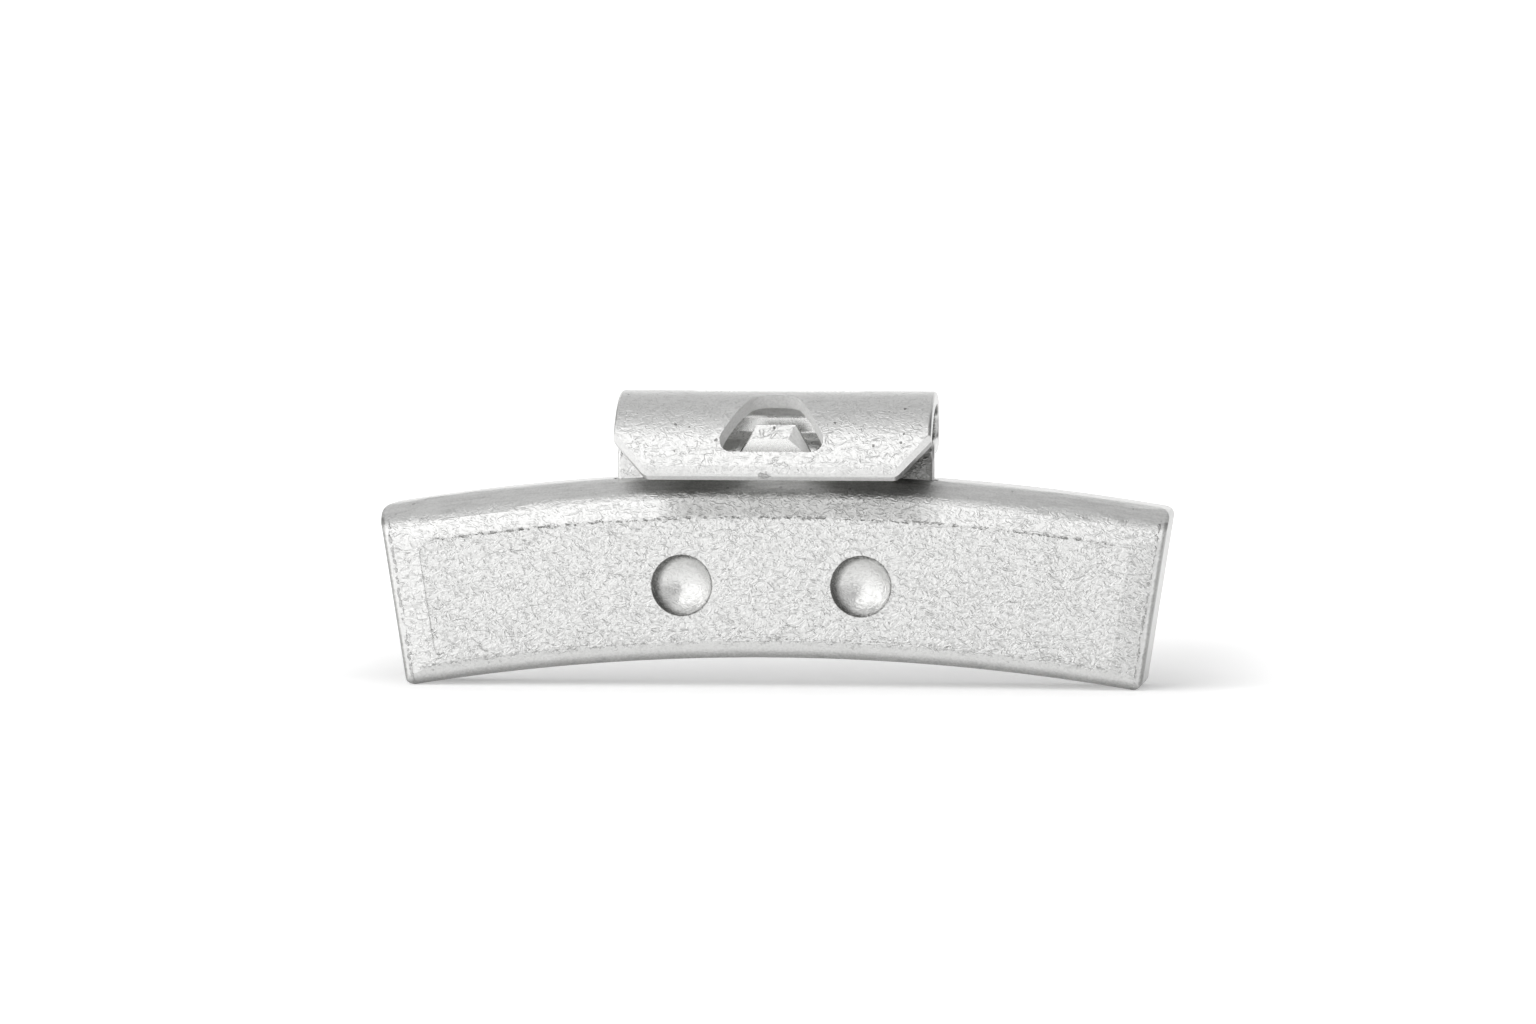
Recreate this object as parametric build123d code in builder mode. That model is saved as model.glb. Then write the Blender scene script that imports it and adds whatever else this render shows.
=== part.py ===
from build123d import *
from math import asin, cos, degrees, radians, sin, sqrt, tan
import os

# Clip-on balance weight for a road wheel: a curved steel bar, staked to a folded spring clip.
# +X runs along the bar, -Y is the face with the punch marks and the clip's flap, +Z is up.
# The origin is midway along the bar and through the whole depth, on the surface that it stands on.

os.makedirs("parts", exist_ok=True)

# Bar, in millimetres and degrees
crown_radius = 187.5
bar_height = 14.3
bar_length = 62.3
bar_depth = 8.0
end_slope = 9.0

# Bar section, from the crown down the front face to the sole
ridge_setback = 2.7
ridge_round = 2.0
shoulder_setback = 0.8
shoulder_drop = 1.3
shoulder_round = 1.8
crease_drop = 3.1
toe_height = 1.4
sole_setback = 0.62
sole_round = 1.0
back_round = 0.9

# Bar ends and the pressed front panel
end_bevel_width = 2.6
end_bevel_drop = 0.35
end_edge_round = 0.6
end_back_crease = 0.06
end_corner_round = 0.8
panel_land = 0.12
panel_step = 0.12
panel_round = 1.2

# Punch marks on the front panel
punch_diameter = 4.8
punch_bowl_diameter = 4.4
punch_wall = 0.25
punch_depth = 1.2
punch_spacing = 14.1
punch_rise = 5.68

# Clip strip and its stem
strip_thickness = 1.2
strip_edge_round = 0.3
clip_width = 25.0
stem_setback = 3.0
slot_web = 2.3
slot_end_gap = 0.3
slot_floor_gap = 0.4
stake_diameter = 3.2
stake_gap = 0.1

# Clip hook, with rises measured from the top of the bar's crown
hook_rise = 6.44
ledge_rise = 1.42
ledge_turn = 85.0
ledge_bend = 0.4
rear_gap = 0.05
rear_bend = 1.0
front_bend = 4.8
flap_lean = 24.0
flap_length = 3.0

# Clip flap, its cut corners and its window
corner_run = 2.6
corner_rise = 3.0
corner_round = 0.9
corner_bevel = 0.4
lip_band = 0.7
window_rise = 1.9
window_height = 5.75
window_tilt = 55.0
window_foot_width = 9.4
window_top_width = 3.1
window_foot_round = 0.9
window_top_round = 1.8

# Clip tongue, lanced out of the ledge: a bevel at its tip and right leaves a face smaller than its back
tongue_rise = 1.0
tongue_root_width = 6.2
tongue_face_height = 1.76
tongue_face_width = 3.0
tongue_face_shift = 0.5
tongue_back_height = 2.85
tongue_back_width = 3.1
tongue_bevel = 0.45
tongue_kerf = 0.12

# Where the bar lies: the rounded lower corners of its ends touch the surface
slope = radians(end_slope)
half_length = bar_length / 2
inner_radius = crown_radius - bar_height
corner_level = sqrt(crown_radius**2 - half_length**2)
end_reach = half_length * sin(slope) + corner_level * cos(slope)
end_height = end_reach - sqrt(end_reach**2 - crown_radius**2 + inner_radius**2)
foot_angle = asin((half_length - end_height * sin(slope)) / inner_radius)
foot_level = inner_radius * cos(foot_angle)
foot_lift = end_corner_round * (cos(foot_angle) + sin(slope) - 1)
centre_z = -foot_level - foot_lift
crown_z = centre_z + crown_radius
sole_z = centre_z + inner_radius
punch_height = sole_z + punch_rise
punch_centres = [(-punch_spacing / 2, punch_height), (punch_spacing / 2, punch_height)]
end_cut_reach = 2 * bar_height

# How deep the whole is: the flap's lip can stand out in front of the bar
lean = radians(flap_lean)
half_strip = strip_thickness / 2
rear_radius = rear_bend + half_strip
front_radius = front_bend + half_strip
fold_depth = half_strip + rear_radius + (front_radius + half_strip) * cos(lean)
hook_depth = fold_depth + (flap_length - lip_band) * sin(lean)
overall_depth = max(bar_depth, hook_depth + rear_gap)
back_y = overall_depth / 2
front_y = back_y - bar_depth
panel_y = front_y + panel_step

# Where the clip's strip runs: its middle line through the stem and the hook
stem_front_y = front_y + stem_setback
stem_y = stem_front_y + half_strip
rear_y = back_y - rear_gap - half_strip
slot_floor = sole_z + slot_web
stem_foot = slot_floor + slot_floor_gap
hook_top = crown_z + hook_rise
ledge_height = crown_z + ledge_rise
window_foot = crown_z + window_rise
tongue_root = crown_z + tongue_rise
turn = radians(ledge_turn)
ledge_radius = ledge_bend + half_strip
ledge_start = ledge_height + half_strip - ledge_radius * sin(turn)
ledge_run = (rear_y - stem_y - 2 * ledge_radius * (1 - cos(turn))) / sin(turn)
rear_top = hook_top - half_strip - rear_radius

front_plane = Plane((0, front_y, centre_z), x_dir=(1, 0, 0), z_dir=(0, -1, 0))


def arc_band(top_radius, bottom_radius, end_inset, corner_radius):
    """Front outline of the bar, or one drawn in from it: a band of an arc with sloped, rounded ends."""
    end_x = half_length - end_inset * cos(slope)
    end_level = corner_level + end_inset * sin(slope)
    high, low = bar_height, -2 * bar_height
    with BuildSketch(front_plane) as band:
        Circle(top_radius)
        Circle(bottom_radius, mode=Mode.SUBTRACT)
        with BuildLine():
            Polyline(
                (end_x + high * tan(slope), end_level + high),
                (end_x + low * tan(slope), end_level + low),
                (-end_x - low * tan(slope), end_level + low),
                (-end_x - high * tan(slope), end_level + high),
                close=True,
            )
        make_face(mode=Mode.INTERSECT)
        fillet(band.vertices(), radius=corner_radius)
    return band.sketch


# Curved bar: a rolled section bent to an arc, cropped at both ends and pressed flat in front
with BuildPart() as weight_body:
    with BuildSketch(Plane((0, 0, centre_z), x_dir=(0, 1, 0), z_dir=(1, 0, 0))):
        with BuildLine():
            FilletPolyline(
                (front_y + ridge_setback, crown_radius),
                (front_y + shoulder_setback, crown_radius - shoulder_drop),
                (front_y, crown_radius - crease_drop),
                (front_y, inner_radius + toe_height),
                (front_y + sole_setback, inner_radius),
                (back_y, inner_radius),
                (back_y, crown_radius),
                radius=[ridge_round, shoulder_round, 0, 0, sole_round, back_round, back_round],
                close=True,
            )
        make_face()
    revolve(
        axis=Axis((0, 0, centre_z), (0, 1, 0)),
        revolution_arc=2 * degrees(foot_angle),
    )
    bar_outline = arc_band(crown_radius, inner_radius, 0, end_corner_round)
    extrude(bar_outline, amount=-bar_depth, mode=Mode.INTERSECT)

    # Seen from above, each end has a shallow bevel in front and rounded edges, creased at the back
    end_corner = (half_length, 0, centre_z + corner_level)
    end_plane = Plane(
        end_corner,
        x_dir=(cos(slope), 0, -sin(slope)),
        z_dir=(sin(slope), 0, cos(slope)),
    )
    bevel_rate = end_bevel_drop / end_bevel_width
    with BuildSketch(end_plane):
        with BuildLine():
            FilletPolyline(
                (-bar_length, front_y - (bar_length - end_bevel_width) * bevel_rate),
                (0, front_y + end_bevel_drop),
                (0, back_y + end_back_crease),
                (-bar_length, back_y + end_back_crease),
                radius=[0, end_edge_round, end_edge_round, 0],
                close=True,
            )
        make_face()
    extrude(amount=end_cut_reach, both=True, mode=Mode.INTERSECT)
    mirror(about=Plane.YZ)

    # The front panel is pressed in a little, inside the crease, the end bevels and the toe
    panel = arc_band(
        crown_radius - crease_drop - panel_land,
        inner_radius + toe_height + panel_land,
        end_bevel_width + panel_land,
        panel_round,
    )
    extrude(panel, amount=-panel_step, mode=Mode.SUBTRACT)

    # Two punch marks, each with a short steep wall and a round bowl
    for punch_x, punch_z in punch_centres:
        with BuildSketch(Plane((punch_x, panel_y, punch_z))):
            with BuildLine():
                bowl = TangentArc(
                    (0, punch_depth),
                    (punch_bowl_diameter / 2, punch_wall),
                    tangent=(1, 0),
                )
                Polyline(
                    bowl @ 1,
                    (punch_diameter / 2, 0),
                    (punch_diameter / 2, -panel_step),
                    (0, -panel_step),
                    bowl @ 0,
                )
            make_face()
        revolve(axis=Axis((punch_x, 0, punch_z), (0, 1, 0)), mode=Mode.SUBTRACT)

    # The stem's slot in the crown, around the two stakes that the punch marks push into the stem
    with BuildSketch(Plane((0, stem_front_y, 0), x_dir=(1, 0, 0), z_dir=(0, -1, 0))):
        with Locations((0, slot_floor)):
            Rectangle(
                clip_width + 2 * slot_end_gap,
                bar_height,
                align=(Align.CENTER, Align.MIN),
            )
        with Locations(*punch_centres):
            Circle(stake_diameter / 2, mode=Mode.SUBTRACT)
    extrude(amount=-strip_thickness, mode=Mode.SUBTRACT)

weight_body.part.label = "weight_body"
export_step(weight_body.part, "parts/weight_body.step")


# Spring clip: one strip folded from the stem over the ledge, the rear wall and the round top to the flap
with BuildPart() as spring_clip:
    with BuildSketch(Plane.YZ):
        with BuildLine():
            stem = Line((stem_y, stem_foot), (stem_y, ledge_start))
            back_fold = JernArc(stem @ 1, stem % 1, ledge_radius, -ledge_turn)
            ledge = Line(back_fold @ 1, back_fold @ 1 + back_fold % 1 * ledge_run)
            up_fold = JernArc(ledge @ 1, ledge % 1, ledge_radius, ledge_turn)
            rear_wall = Line(up_fold @ 1, ((up_fold @ 1).X, rear_top))
            rear_fold = JernArc(rear_wall @ 1, rear_wall % 1, rear_radius, 90)
            front_fold = JernArc(rear_fold @ 1, rear_fold % 1, front_radius, 90 - flap_lean)
            flap = Line(front_fold @ 1, front_fold @ 1 + front_fold % 1 * flap_length)
        trace(line_width=strip_thickness)
    extrude(amount=clip_width / 2, both=True)

    # Cut corners on the flap's lip, rounded where they meet it, with an outer edge rolled over by the shear
    lip_y, lip_z = (flap @ 1).X, (flap @ 1).Y
    lip_middle = Vector(0, lip_y, lip_z)
    flap_out = Vector(0, -cos(lean), sin(lean))
    lip = spring_clip.faces().sort_by_distance(lip_middle)[0]
    chamfer(lip.edges().filter_by(Axis.X, reverse=True), corner_run, corner_rise, reference=lip)
    lip = spring_clip.faces().sort_by_distance(lip_middle)[0]
    fillet(lip.edges().filter_by(Axis.X, reverse=True), radius=corner_round)
    lip_edge = spring_clip.edges().sort_by_distance(lip_middle + flap_out * half_strip)[0]
    chamfer(lip_edge, corner_bevel)

    # The lip's outer edge is cropped upright, which leaves a flat band along it
    lip_front_y = lip_y - half_strip * cos(lean) + lip_band * sin(lean)
    with BuildSketch(Plane((0, lip_front_y, lip_z), x_dir=(1, 0, 0), z_dir=(0, -1, 0))):
        Rectangle(2 * clip_width, 2 * hook_rise)
    extrude(amount=2 * strip_thickness, mode=Mode.SUBTRACT)

    # The strip's long edges are rounded, on both sides and all along the fold
    sides = spring_clip.faces().sort_by(Axis.X)
    left_edges = sides[0].edges().sort_by(SortBy.LENGTH)[-2:]
    right_edges = sides[-1].edges().sort_by(SortBy.LENGTH)[-2:]
    fillet(left_edges + right_edges, radius=strip_edge_round)

    # D-shaped window, punched square to the middle of the flap's curve
    tilt = radians(window_tilt)
    foot_setback = (window_foot - lip_z - half_strip * sin(lean)) * tan(lean)
    window_plane = Plane(
        (0, lip_y - half_strip * cos(lean) + foot_setback, window_foot),
        x_dir=(1, 0, 0),
        z_dir=(0, -cos(tilt), sin(tilt)),
    )
    outside_reach = 2 * strip_thickness
    inside_reach = 1.25 * strip_thickness
    with BuildSketch(window_plane.offset(outside_reach)):
        with BuildLine():
            FilletPolyline(
                (-window_foot_width / 2, 0),
                (window_foot_width / 2, 0),
                (window_top_width / 2, window_height),
                (-window_top_width / 2, window_height),
                radius=[window_foot_round, window_foot_round, window_top_round, window_top_round],
                close=True,
            )
        make_face()
    extrude(amount=-outside_reach - inside_reach, mode=Mode.SUBTRACT)

    # Round holes in the stem for the bar's stakes
    with BuildSketch(Plane((0, stem_front_y, 0), x_dir=(1, 0, 0), z_dir=(0, -1, 0))):
        with Locations(*punch_centres):
            Circle(stake_diameter / 2 + stake_gap)
    extrude(amount=-strip_thickness, mode=Mode.SUBTRACT)

    # The hole that the tongue leaves: up the fold in the tongue's outline, then along the ledge
    face_plane = Plane((0, stem_front_y, tongue_root), x_dir=(1, 0, 0), z_dir=(0, -1, 0))
    fold_length = ledge_start - tongue_root + ledge_radius * turn
    fold_end = (back_fold @ 1).X
    hole_end = fold_end + (tongue_back_height - fold_length) * sin(turn) + tongue_kerf
    narrowing = (tongue_root_width - tongue_back_width) / tongue_back_height
    fold_width = tongue_root_width - narrowing * fold_length
    with BuildSketch(face_plane):
        with BuildLine():
            Polyline(
                (-tongue_root_width / 2 - tongue_kerf, 0),
                (tongue_root_width / 2 + tongue_kerf, 0),
                (tongue_back_width / 2 + tongue_kerf, tongue_back_height),
                (-tongue_back_width / 2 - tongue_kerf, tongue_back_height),
                close=True,
            )
        make_face()
    extrude(amount=stem_front_y - fold_end, mode=Mode.SUBTRACT)
    with BuildSketch(Plane.XY.offset(tongue_root)):
        with BuildLine():
            Polyline(
                (-fold_width / 2 - tongue_kerf, fold_end),
                (fold_width / 2 + tongue_kerf, fold_end),
                (tongue_back_width / 2 + tongue_kerf, hole_end),
                (-tongue_back_width / 2 - tongue_kerf, hole_end),
                close=True,
            )
        make_face()
    extrude(amount=tongue_back_height, mode=Mode.SUBTRACT)

    # The tongue stands on in the stem's plane, with a bevel from its face at the tip and on the right
    with BuildSketch(face_plane):
        with BuildLine():
            Polyline(
                (-tongue_root_width / 2, 0),
                (tongue_root_width / 2, 0),
                (tongue_face_width / 2 - tongue_face_shift, tongue_face_height),
                (-tongue_face_width / 2 - tongue_face_shift, tongue_face_height),
                close=True,
            )
        make_face()
    with BuildSketch(face_plane.offset(-tongue_bevel)) as tongue_back:
        with BuildLine():
            Polyline(
                (-tongue_root_width / 2, 0),
                (tongue_root_width / 2, 0),
                (tongue_back_width / 2, tongue_back_height),
                (-tongue_back_width / 2, tongue_back_height),
                close=True,
            )
        make_face()
    loft(ruled=True)
    extrude(tongue_back.sketch, amount=tongue_bevel - strip_thickness)

spring_clip.part.label = "spring_clip"
export_step(spring_clip.part, "parts/spring_clip.step")
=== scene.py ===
import bpy
from math import cos, pi, radians, sin
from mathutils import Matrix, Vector


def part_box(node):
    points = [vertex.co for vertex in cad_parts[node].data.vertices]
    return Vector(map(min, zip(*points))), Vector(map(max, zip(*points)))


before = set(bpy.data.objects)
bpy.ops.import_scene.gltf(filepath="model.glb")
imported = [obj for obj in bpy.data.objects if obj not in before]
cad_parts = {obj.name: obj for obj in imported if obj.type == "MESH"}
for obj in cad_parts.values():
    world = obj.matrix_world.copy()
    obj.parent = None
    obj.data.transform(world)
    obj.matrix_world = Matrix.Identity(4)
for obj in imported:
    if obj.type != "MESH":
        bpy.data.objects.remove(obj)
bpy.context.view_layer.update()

# The bar is a rolled steel profile, cropped to length, bent to the rim's curve and pressed flat in front.
# A thin silver coat covers it all: it shows the grain of the pressed steel, drag marks along the crown
# from the rolling, dark pits, and a broken dark line in the crease over the front panel.
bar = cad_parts["weight_body"]
silver = (0.735, 0.735, 0.728, 1.0)
# A paler silver for the punch marks' bowls: a painted highlight
bowl_highlight_silver = (0.78, 0.78, 0.77, 1.0)
# The dark colour stands for real dirt and for painted shade alike
dirt_and_shade_colour = (0.16, 0.16, 0.155, 1.0)
millimetres = (1000, 1000, 1000)
crown_radius = 187.5
bar_height = 14.3
half_length = 31.15
end_slope = radians(9.0)
end_level = 14.01
crease_drop = 3.22
crease_reach = 26.4
toe_rise = 1.35
punch_reach = 7.05
punch_height = 8.0
punch_radius = 2.36
bar_low, bar_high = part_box("weight_body")
front_y = bar_low.y * 1000
arc_centre = bar_high.z * 1000 - crown_radius


def join(tree, value, socket):
    """Give a socket its input: a link from another socket, or a plain value."""
    if isinstance(value, bpy.types.NodeSocket):
        tree.links.new(value, socket)
    else:
        socket.default_value = value


def add(tree, kind, **inputs):
    """Place a node in a tree and fill its inputs by name; an underscore stands for a space."""
    node = tree.nodes.new(kind)
    for name, value in inputs.items():
        join(tree, value, node.inputs[name.replace("_", " ")])
    return node


def calc(tree, operation, first, second=0.0, third=0.0):
    """One step of arithmetic on numbers or sockets."""
    node = tree.nodes.new("ShaderNodeMath")
    node.operation = operation
    for socket, value in zip(node.inputs, (first, second, third)):
        join(tree, value, socket)
    return node.outputs[0]


def product(tree, first, *factors):
    """Several values multiplied."""
    for factor in factors:
        first = calc(tree, "MULTIPLY", first, factor)
    return first


def largest(tree, first, *others):
    """The largest of several values."""
    for other in others:
        first = calc(tree, "MAXIMUM", first, other)
    return first


def scaled(tree, value, factor, base):
    """A value times a factor, on top of a base."""
    return calc(tree, "MULTIPLY_ADD", value, factor, base)


def less(tree, first, second):
    """One value less another."""
    return calc(tree, "SUBTRACT", first, second)


def magnitude(tree, value):
    """A value without its sign."""
    return calc(tree, "ABSOLUTE", value)


def distance(tree, across, upward):
    """The length of a way that goes across and upward at right angles."""
    squares = calc(tree, "ADD", calc(tree, "POWER", across, 2.0), calc(tree, "POWER", upward, 2.0))
    return calc(tree, "SQRT", squares)


def step_between(tree, value, low, high):
    """A smooth step from 0 at low to 1 at high; it falls instead where low is above high."""
    node = tree.nodes.new("ShaderNodeMapRange")
    node.interpolation_type = "SMOOTHSTEP"
    join(tree, value, node.inputs["Value"])
    node.inputs["From Min"].default_value = min(low, high)
    node.inputs["From Max"].default_value = max(low, high)
    if low > high:
        node.inputs["To Min"].default_value = 1.0
        node.inputs["To Max"].default_value = 0.0
    return node.outputs["Result"]


def blend(tree, factor, first, second):
    """A mix of two colours by a factor."""
    node = tree.nodes.new("ShaderNodeMix")
    node.data_type = "RGBA"
    for socket, value in ((node.inputs[0], factor), (node.inputs[6], first), (node.inputs[7], second)):
        join(tree, value, socket)
    return node.outputs[2]


def noise(tree, place, scale, detail=1.0, roughness=0.5, distortion=0.0):
    """A noise pattern's value at a place, with its scale in features a millimetre."""
    node = add(
        tree,
        "ShaderNodeTexNoise",
        Vector=place,
        Scale=scale,
        Detail=detail,
        Roughness=roughness,
        Distortion=distortion,
    )
    return node.outputs["Fac"]


def make_coat_group():
    """The silver coat from a place in millimetres: slanted strokes, curled lines, fine grain and pits."""
    tree = bpy.data.node_groups.new("silver_coat", "ShaderNodeTree")
    face = tree.interface
    face.new_socket("Place", in_out="INPUT", socket_type="NodeSocketVector")
    for name in ("Strokes", "Lines", "Grain", "Pits"):
        face.new_socket(name, in_out="INPUT", socket_type="NodeSocketFloat")
    for name in ("Height", "Pit Mask", "Tone"):
        face.new_socket(name, in_out="OUTPUT", socket_type="NodeSocketFloat")
    given = tree.nodes.new("NodeGroupInput").outputs
    place = given["Place"]

    grain = noise(tree, place, 5.0, detail=2.0, roughness=0.6)
    dents = noise(tree, place, 0.35, detail=2.0)

    # Short curved strokes: ripples around a soft pattern that is longer along a steep slant
    slanted = add(tree, "ShaderNodeMapping", Vector=place, Rotation=(0, radians(55), 0), Scale=(0.5, 1, 1))
    swirl = noise(tree, slanted.outputs["Vector"], 1.9, detail=1.5, distortion=0.8)
    ripple = calc(tree, "SINE", product(tree, scaled(tree, grain, 0.12, swirl), 30.0))
    strokes = product(tree, ripple, step_between(tree, noise(tree, place, 2.8), 0.34, 0.56), given["Strokes"])

    # Long curled lines, broken into pieces
    off_line = magnitude(tree, less(tree, noise(tree, place, 0.5, distortion=1.6), 0.5))
    pieces = step_between(tree, noise(tree, place, 0.8), 0.52, 0.62)
    lines = product(tree, step_between(tree, off_line, 0.02, 0.0), pieces, given["Lines"])

    # Pits of ragged outline, in about one cell of three
    jitter = add(tree, "ShaderNodeTexNoise", Vector=place, Scale=5.0, Detail=1.0)
    shift = add(tree, "ShaderNodeVectorMath", Vector=jitter.outputs["Color"])
    shift.operation = "SCALE"
    shift.inputs["Scale"].default_value = 0.22
    ragged = add(tree, "ShaderNodeVectorMath", Vector=place)
    tree.links.new(shift.outputs["Vector"], ragged.inputs[1])
    cells = add(tree, "ShaderNodeTexVoronoi", Vector=ragged.outputs["Vector"], Scale=0.95)
    chance = add(tree, "ShaderNodeSeparateColor", Color=cells.outputs["Color"])
    chosen = calc(tree, "GREATER_THAN", chance.outputs["Red"], 0.66)
    pit_radius = scaled(tree, chance.outputs["Green"], 0.09, 0.05)
    within = calc(tree, "LESS_THAN", cells.outputs["Distance"], pit_radius)
    pits = product(tree, within, chosen, given["Pits"])

    height = calc(tree, "ADD", strokes, lines)
    height = scaled(tree, grain, given["Grain"], height)
    height = scaled(tree, dents, 0.03, height)
    height = scaled(tree, pits, -0.03, height)
    tone = scaled(tree, grain, 0.8, product(tree, dents, 0.2))
    tone = scaled(tree, strokes, 20.0, tone)
    tone = scaled(tree, lines, -12.0, tone)

    result = tree.nodes.new("NodeGroupOutput")
    join(tree, height, result.inputs["Height"])
    join(tree, pits, result.inputs["Pit Mask"])
    join(tree, tone, result.inputs["Tone"])
    return tree


coat_group = make_coat_group()


def start_coat(name):
    """A metal material with its shader, a place in millimetres and the silver coat's group."""
    material = bpy.data.materials.new(name)
    material.use_nodes = True
    tree = material.node_tree
    shader = tree.nodes["Principled BSDF"]
    shader.inputs["Metallic"].default_value = 1.0
    coordinates = tree.nodes.new("ShaderNodeTexCoord")
    place = add(tree, "ShaderNodeMapping", Vector=coordinates.outputs["Object"], Scale=millimetres)
    coat = tree.nodes.new("ShaderNodeGroup")
    coat.node_tree = coat_group
    join(tree, place.outputs["Vector"], coat.inputs["Place"])
    return material, tree, shader, place.outputs["Vector"], coat


def finish_coat(tree, shader, coat, colour, dirt_and_shade, height, base_roughness):
    """Lead the colour, the darkening by dirt and painted shade, the height and the tone of a coat to its
    shader.
    """
    shade = largest(tree, calc(tree, "ADD", scaled(tree, coat.outputs["Tone"], -0.6, 0.35), dirt_and_shade), 0.0)
    join(tree, blend(tree, shade, colour, dirt_and_shade_colour), shader.inputs["Base Color"])
    bump = add(tree, "ShaderNodeBump", Height=height, Strength=1.0, Distance=0.001)
    join(tree, bump.outputs["Normal"], shader.inputs["Normal"])
    join(tree, scaled(tree, coat.outputs["Tone"], 0.12, base_roughness), shader.inputs["Roughness"])


bar_finish, tree, shader, place, coat = start_coat("bar_coat")
axes = add(tree, "ShaderNodeSeparateXYZ", Vector=place).outputs

# Where a point lies: its drop below the crown's arc, its way along the arc and its gap to the nearer end
rise = less(tree, axes["Z"], arc_centre)
drop = less(tree, crown_radius, distance(tree, axes["X"], rise))
along = product(tree, calc(tree, "ARCTAN2", axes["X"], rise), crown_radius)
side = magnitude(tree, axes["X"])
end_gap = product(tree, less(tree, half_length, side), cos(end_slope))
end_gap = scaled(tree, less(tree, axes["Z"], end_level), sin(end_slope), end_gap)
in_front = step_between(tree, axes["Y"], front_y + 1.5, front_y + 1.2)
front_half = step_between(tree, axes["Y"], 0.5, -0.7)
wander = less(tree, noise(tree, place, 2.4, detail=3.0, roughness=0.7), 0.5)

# Painted shade in the punch marks: a thin dark ring, partly dirt too, and a painted shadow in a crescent on
# the left wall
punch_x = scaled(tree, calc(tree, "SIGN", axes["X"]), -punch_reach, axes["X"])
punch_z = less(tree, axes["Z"], punch_height)
punch_edge = distance(tree, punch_x, punch_z)
bowl = product(tree, step_between(tree, punch_edge, punch_radius - 0.06, punch_radius - 0.26), in_front)
ring = step_between(tree, magnitude(tree, less(tree, punch_edge, punch_radius)), 0.10, 0.03)
off_wall = distance(tree, less(tree, punch_x, 0.38), less(tree, punch_z, -0.05))
crescent_shadow = step_between(tree, scaled(tree, wander, 0.25, off_wall), 1.90, 2.55)
crescent_shadow = product(tree, crescent_shadow, step_between(tree, punch_edge, punch_radius + 0.09, punch_radius + 0.02))
punch_dirt_and_shade = largest(tree, product(tree, ring, 0.6), product(tree, crescent_shadow, 0.95))

# The crown is smooth but for drag marks, down to a ragged edge; the toe and the ends are smoother too
ragged_drop = scaled(tree, wander, 1.6, drop)
on_crown = step_between(tree, ragged_drop, 1.35, 1.05)
drawn = add(tree, "ShaderNodeCombineXYZ", X=product(tree, along, 0.12), Y=axes["Y"], Z=drop)
drag = noise(tree, drawn.outputs["Vector"], 3.0, detail=3.0, roughness=0.65)
above_toe = step_between(tree, ragged_drop, bar_height - 0.9, bar_height - 1.3)
below_crease = step_between(tree, drop, crease_drop - 0.2, crease_drop)
rough_zone = product(
    tree,
    less(tree, 1.0, on_crown),
    above_toe,
    step_between(tree, end_gap, 0.5, 1.0),
    scaled(tree, bowl, -0.7, 1.0),
    scaled(tree, in_front, 0.7, 0.3),
    scaled(tree, below_crease, 0.5, 0.5),
)
join(tree, scaled(tree, rough_zone, 0.018, 0.002), coat.inputs["Strokes"])
join(tree, product(tree, rough_zone, 0.02), coat.inputs["Lines"])
coat.inputs["Grain"].default_value = 0.02
coat.inputs["Pits"].default_value = 0.4

# Broken dark lines: one in the crease, short of the ends, and a fainter one along the toe
past_crease = scaled(tree, wander, 0.5, less(tree, drop, crease_drop))
crease_line = step_between(tree, magnitude(tree, past_crease), 0.14, 0.03)
crease_line = product(tree, crease_line, step_between(tree, side, crease_reach + 1.0, crease_reach))
past_toe = scaled(tree, wander, 0.9, less(tree, drop, bar_height - toe_rise))
toe_line = product(tree, step_between(tree, magnitude(tree, past_toe), 0.12, 0.03), 0.6)
breaks = noise(tree, place, 2.6, detail=2.0)
dark_lines = largest(tree, crease_line, toe_line)
dark_lines = product(tree, dark_lines, step_between(tree, breaks, 0.46, 0.60), in_front)

# Ragged burrs where the ends' bevels meet the rounded edges
off_burr = magnitude(tree, scaled(tree, wander, 0.6, less(tree, end_gap, 0.65)))
burr = product(tree, step_between(tree, off_burr, 0.14, 0.03), step_between(tree, breaks, 0.42, 0.56))
burr = product(tree, burr, in_front)

# Dark edges: around the ends partly wear and partly painted shade, and painted shade along the sole
worn_and_shaded_end = step_between(tree, scaled(tree, wander, 0.3, end_gap), 0.36, 0.16)
sole_shade = step_between(tree, scaled(tree, wander, 0.2, drop), bar_height - 0.90, bar_height - 0.10)

# Painted shadow of the clip: the coat is darkened above the crease under the clip; it is also streaked along
# the crown
clip_shadow = product(
    tree,
    step_between(tree, axes["X"], -10.0, -6.5),
    step_between(tree, axes["X"], 14.0, 10.5),
    step_between(tree, past_crease, 0.10, -0.25),
    front_half,
)
streaks = scaled(tree, drag, 0.6, -0.24)

dirt_and_shade = largest(
    tree,
    product(tree, dark_lines, 0.5),
    product(tree, burr, 0.4),
    product(tree, worn_and_shaded_end, 0.6),
    product(tree, sole_shade, 0.6),
    punch_dirt_and_shade,
)
dirt_and_shade = product(tree, dirt_and_shade, in_front)
# Pits, and a little painted shade over the whole end faces
dirt_and_shade = largest(tree, dirt_and_shade, product(tree, coat.outputs["Pit Mask"], 0.6), product(tree, worn_and_shaded_end, 0.2))
# The clip's painted shadow darkens the coat here, on top of the streaks along the crown
dirt_and_shade = scaled(tree, clip_shadow, 0.45, scaled(tree, on_crown, streaks, dirt_and_shade))
height = scaled(tree, product(tree, drag, on_crown), 0.035, coat.outputs["Height"])
height = scaled(tree, dark_lines, -0.06, height)
height = scaled(tree, burr, 0.06, height)
height = scaled(tree, product(tree, on_crown, front_half), -0.02, height)
# The paler silver in the punch marks' bowls is a painted highlight
finish_coat(tree, shader, coat, blend(tree, bowl, silver, bowl_highlight_silver), dirt_and_shade, height, 0.30)
bar.data.materials[0] = bar_finish

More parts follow.
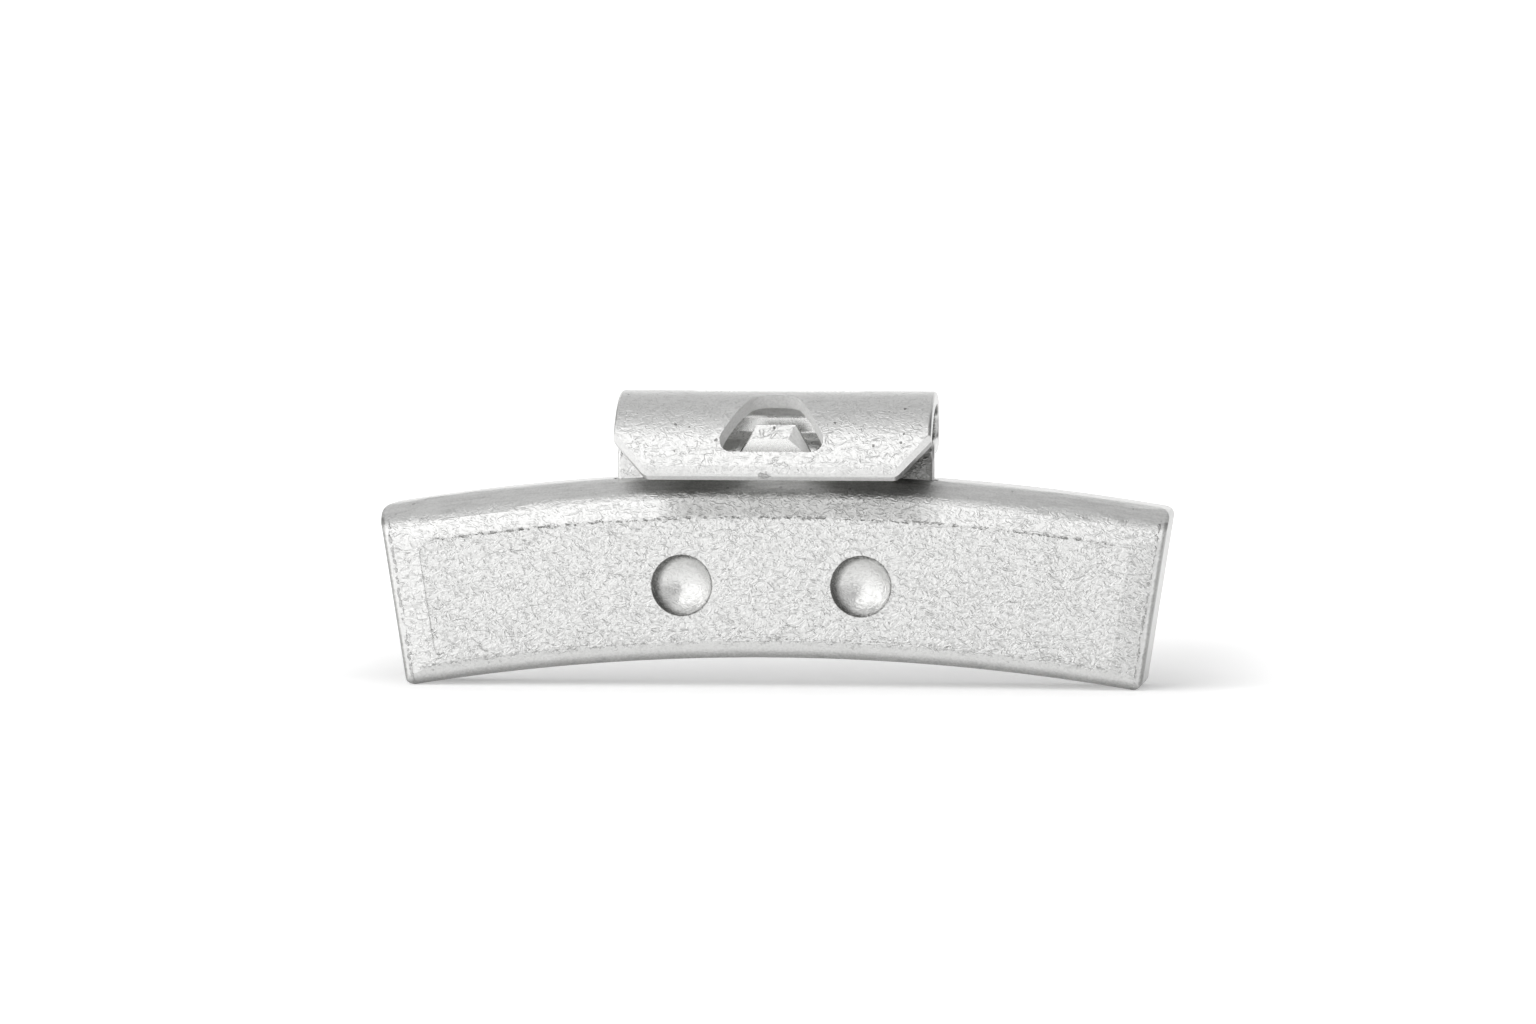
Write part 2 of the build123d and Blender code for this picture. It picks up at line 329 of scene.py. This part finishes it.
# The clip is one strip of spring steel, blanked, lanced and folded, under the same silver coat.
# Its folded faces are grained and scratched, and its cut edges are smooth. Its stem is staked into the
# bar's slot, and the flap in front springs against the rim's edge.
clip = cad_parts["spring_clip"]
bare_and_lit_silver = (0.93, 0.93, 0.92, 1.0)
window_reach = 6.0
hook_floor = 16.9
stem_front = -0.9
back_start = 1.0
roll_level = 19.2
roll_end = 9.5
corner_start = 9.0
corner_level = 17.6
nick_place = (-0.46, -4.3, 16.35)
clip_finish, tree, shader, place, coat = start_coat("clip_coat")
axes = add(tree, "ShaderNodeSeparateXYZ", Vector=place).outputs
facing = add(tree, "ShaderNodeSeparateXYZ", Vector=tree.nodes["Texture Coordinate"].outputs["Normal"]).outputs
span = magnitude(tree, axes["X"])
off_side = step_between(tree, magnitude(tree, facing["X"]), 0.4, 0.2)
off_under = step_between(tree, facing["Z"], -0.35, -0.15)
on_face = product(tree, off_side, off_under)
under = less(tree, 1.0, off_under)

# Level with the window the hook's inside is paler, as painted light, and so are the faces that look up at its
# back: the bent foot of the rear wall inside, and the top of the roll outside
by_window = step_between(tree, span, window_reach + 1.0, window_reach)
behind_stem = step_between(tree, axes["Y"], stem_front - 0.3, stem_front)
inside = product(tree, step_between(tree, axes["Z"], hook_floor, hook_floor + 0.4), behind_stem, by_window)
upper_back = step_between(tree, axes["Y"], back_start, back_start + 0.4)
upper_back = product(tree, upper_back, step_between(tree, facing["Z"], 0.15, 0.35), inside)
inside = product(tree, inside, step_between(tree, facing["Y"], -0.94, -0.98))
inside = largest(tree, inside, upper_back)

# The window's walls and the undersides are smooth, paler and more matt, but not the ends of the roll; their
# paler colour is partly bare cut steel and partly painted light
# Painted shade on the undersides of the roll's ends
roll_underside_shade = step_between(tree, axes["Z"], roll_level, roll_level + 0.6)
roll_underside_shade = product(tree, roll_underside_shade, step_between(tree, span, roll_end, roll_end + 1.0), under)
cut = product(tree, less(tree, 1.0, on_face), largest(tree, off_side, by_window), less(tree, 1.0, roll_underside_shade))
worked = product(tree, on_face, less(tree, 1.0, inside))
join(tree, product(tree, worked, 0.010), coat.inputs["Strokes"])
join(tree, product(tree, worked, 0.02), coat.inputs["Lines"])
join(tree, scaled(tree, worked, 0.012, 0.003), coat.inputs["Grain"])
join(tree, worked, coat.inputs["Pits"])
# Pale silver on the cut edges and the hook's inside: bare cut steel and painted light
colour = blend(tree, largest(tree, cut, inside), silver, bare_and_lit_silver)
base_roughness = scaled(tree, inside, -0.08, scaled(tree, cut, 0.25, 0.30))
matt = largest(tree, product(tree, cut, 0.75), scaled(tree, upper_back, 0.6, product(tree, inside, 0.15)))

# Painted shade behind the flap's right corner
corner_shade = product(
    tree,
    step_between(tree, axes["X"], corner_start, corner_start + 0.6),
    step_between(tree, axes["Z"], corner_level + 1.0, corner_level),
    step_between(tree, facing["Y"], -0.8, -0.9),
    behind_stem,
)

# A nick in the middle of the lip
nick = add(tree, "ShaderNodeVectorMath", Vector=place)
nick.operation = "DISTANCE"
nick.inputs[1].default_value = nick_place
ragged_nick = scaled(tree, noise(tree, place, 2.4, detail=2.0), 0.8, nick.outputs["Value"])
nicked = step_between(tree, ragged_nick, 0.95, 0.75)

dirt_and_shade = largest(
    tree,
    product(tree, coat.outputs["Pit Mask"], 0.8),
    product(tree, nicked, 0.4),
    product(tree, corner_shade, 0.92),
    product(tree, roll_underside_shade, 0.7),
)
height = scaled(tree, nicked, -0.15, coat.outputs["Height"])
finish_coat(tree, shader, coat, colour, dirt_and_shade, height, base_roughness)
join(tree, less(tree, 1.0, matt), shader.inputs["Metallic"])
clip.data.materials[0] = clip_finish

# The floor is a matt white sheet that sweeps up behind the object, as in a small studio.
# It keeps the object's soft shadow close by, with painted shade around and behind it, goes to plain white
# around it, and has painted shade greying it far to the right.
white = (0.9, 0.9, 0.9, 1.0)
shade_grey = (0.5, 0.5, 0.5, 1.0)
sweep_width = 3.0
sweep_front = -1.6
sweep_back = 0.7
sweep_height = 0.5
sweep_bend = 0.25
bpy.ops.object.select_all(action="DESELECT")
bpy.ops.mesh.primitive_plane_add(size=1.0, location=(0, 0, 0))
floor = bpy.context.object
floor.name = "floor"
floor.scale = (sweep_width, sweep_back - sweep_front, 1.0)
floor.location = (0, (sweep_back + sweep_front) / 2, 0)
bpy.ops.object.transform_apply(location=True, scale=True)
bpy.ops.object.mode_set(mode="EDIT")
bpy.ops.mesh.select_mode(type="EDGE")
bpy.ops.mesh.select_all(action="DESELECT")


def select_floor_edges(wanted):
    """Select the floor's edges whose two ends both pass a test, and go on in edit mode."""
    bpy.ops.object.mode_set(mode="OBJECT")
    for edge in floor.data.edges:
        edge.select = all(wanted(floor.data.vertices[v].co) for v in edge.vertices)
    bpy.ops.object.mode_set(mode="EDIT")


select_floor_edges(lambda point: point.y > sweep_back - 0.01)
bpy.ops.mesh.extrude_region_move(TRANSFORM_OT_translate={"value": (0, 0, sweep_height)})
select_floor_edges(lambda point: point.y > sweep_back - 0.01 and point.z < 0.01)
bpy.ops.mesh.bevel(offset=sweep_bend, segments=16)
bpy.ops.object.mode_set(mode="OBJECT")
bpy.ops.object.shade_smooth()

floor_finish = bpy.data.materials.new("floor_white")
floor_finish.use_nodes = True
tree = floor_finish.node_tree
shader = tree.nodes["Principled BSDF"]
shader.inputs["Roughness"].default_value = 0.9
shader.inputs["Specular IOR Level"].default_value = 0.1
floor_place = add(tree, "ShaderNodeTexCoord").outputs["Object"]
spot = add(tree, "ShaderNodeSeparateXYZ", Vector=floor_place).outputs

# Painted shade far off: greying from a little left of the front round to the right and most of the way to the
# back
reach = add(tree, "ShaderNodeVectorMath", Vector=floor_place)
reach.operation = "LENGTH"
bearing = calc(tree, "ARCTAN2", spot["X"], product(tree, spot["Y"], -1.0))
falloff_shade = product(
    tree,
    step_between(tree, bearing, -0.25, 0.15),
    step_between(tree, bearing, 2.6, 2.2),
    step_between(tree, reach.outputs["Value"], 0.26, 0.45),
)
join(tree, blend(tree, falloff_shade, white, shade_grey), shader.inputs["Base Color"])

# A glow that the camera and reflections see: full away from the object, weaker near it, and weakest behind
# it, which paints shade around the object on top of its real soft shadow; it also dims with the painted grey
# far off
beside = largest(tree, scaled(tree, magnitude(tree, spot["X"]), 4.0, -0.11), 0.0)
before = scaled(tree, spot["Y"], -3.0, -0.012)
behind = less(tree, spot["Y"], 0.02)
far = step_between(tree, distance(tree, beside, largest(tree, before, behind, 0.0)), 0.0, 0.08)
weakening = scaled(tree, step_between(tree, spot["Y"], -0.005, 0.005), -0.14, -0.26)
glow_level = scaled(tree, less(tree, 1.0, far), weakening, 0.58)
glow_level = product(tree, glow_level, scaled(tree, falloff_shade, -0.6, 1.0))
rays = tree.nodes.new("ShaderNodeLightPath").outputs
seen = largest(tree, rays["Is Camera Ray"], rays["Is Glossy Ray"], rays["Is Transmission Ray"])
glow = add(tree, "ShaderNodeEmission", Strength=product(tree, glow_level, seen))
lit = tree.nodes.new("ShaderNodeAddShader")
join(tree, shader.outputs["BSDF"], lit.inputs[0])
join(tree, glow.outputs["Emission"], lit.inputs[1])
join(tree, lit.outputs["Shader"], tree.nodes["Material Output"].inputs["Surface"])
floor.data.materials.append(floor_finish)

# Studio light: soft boxes high in front, on the left, behind the camera, overhead and behind the object.
# Only a faint one stands on the right, so that the hollows' left walls stay darker.
room = bpy.data.worlds.new("room")
bpy.context.scene.world = room
room.use_nodes = True
room.node_tree.nodes["Background"].inputs["Color"].default_value = (1.0, 1.0, 1.0, 1.0)
room.node_tree.nodes["Background"].inputs["Strength"].default_value = 0.10
object_middle = Vector((0, 0, 0.012))


def direction(azimuth, elevation):
    """A unit vector away from the object, from angles in degrees: right of the front, and up."""
    turn, up = radians(azimuth), radians(elevation)
    return Vector((sin(turn) * cos(up), -cos(turn) * cos(up), sin(up)))


def soft_box(name, azimuth, elevation, stand_off, width, height, brightness):
    """An area lamp that faces the object; its brightness is that of its own surface."""
    lamp = bpy.data.lights.new(name, "AREA")
    lamp.shape = "RECTANGLE"
    lamp.size = width
    lamp.size_y = height
    lamp.energy = brightness * pi * width * height
    box = bpy.data.objects.new(name, lamp)
    bpy.context.scene.collection.objects.link(box)
    away = direction(azimuth, elevation)
    box.location = object_middle + away * stand_off
    box.rotation_euler = away.to_track_quat("Z", "Y").to_euler()


soft_box("key_box", -14, 43, 2.0, 1.6, 1.0, 1.74)
soft_box("left_box", -70, 22, 2.0, 1.6, 1.6, 1.8)
soft_box("front_box", -22, 12, 2.0, 1.5, 1.0, 1.55)
soft_box("right_box", 48, 27, 2.0, 1.8, 1.5, 0.62)
soft_box("top_box", -15, 76, 1.6, 1.8, 1.0, 0.7)
soft_box("back_box", 180, 60, 1.6, 2.6, 1.2, 0.65)

# The camera stands a little to the right of the middle, a little above the clip and 0.7 m off.
picture_width = 0.1200
camera_distance = 0.70
aim = Vector((-0.00023, -0.0037, 0.01380))
lens = bpy.data.cameras.new("camera")
lens.sensor_width = 36.0
lens.lens = lens.sensor_width * camera_distance / picture_width
lens.clip_start = 0.01
camera = bpy.data.objects.new("camera", lens)
bpy.context.scene.collection.objects.link(camera)
to_camera = direction(6.5, 3.2)
camera.location = aim + to_camera * camera_distance
camera.rotation_euler = to_camera.to_track_quat("Z", "Y").to_euler()
bpy.context.scene.camera = camera
bpy.context.scene.view_settings.view_transform = "Standard"
